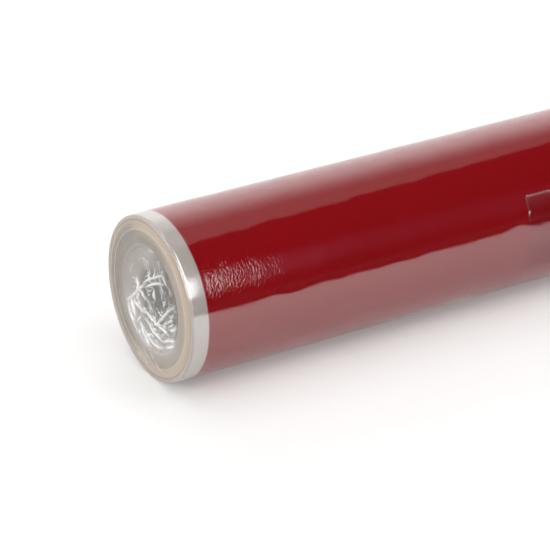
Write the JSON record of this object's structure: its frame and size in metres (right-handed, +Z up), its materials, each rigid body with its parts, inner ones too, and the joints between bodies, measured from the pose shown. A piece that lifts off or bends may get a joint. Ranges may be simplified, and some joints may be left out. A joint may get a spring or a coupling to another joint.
{
  "type": "backdrop paper roll",
  "caption": "Half-width studio backdrop roll: red-faced paper sheet wound on an open board core, wrapped in clear film that is tucked in at the ends and closed with clear tape.",
  "frame": {"origin": "on the axis of the core's bore, halfway along the roll", "axes": "+X along the roll's axis, +Z up, -Y towards the front, where the closing tape is"},
  "size_m": [1.3502, 0.0813, 0.0812],
  "materials": {
    "core_board": "raw grey-brown board with layered end grain",
    "core_liner": "smooth kraft liner",
    "starter_tape": "paper tape",
    "bare_paper": "uncoated paper edge, fine layered lines",
    "red_paper": "deep red face with bare whitish margins",
    "clear_film": "thin clear glossy film",
    "clear_tape": "clear adhesive tape"
  },
  "bodies": {
    "root": {"core_inner_ply": "core_liner", "core_body_plies": "core_board", "core_outer_ply": "core_liner", "starter_tape_left": "starter_tape", "starter_tape_middle": "starter_tape", "starter_tape_right": "starter_tape", "paper_windings": "bare_paper", "paper_last_turn": "red_paper", "film_sleeve": "clear_film", "film_end_left": "clear_film", "film_end_right": "clear_film", "closing_tape_left": "clear_tape", "closing_tape_middle": "clear_tape", "closing_tape_right": "clear_tape"}
  },
  "joints": []
}
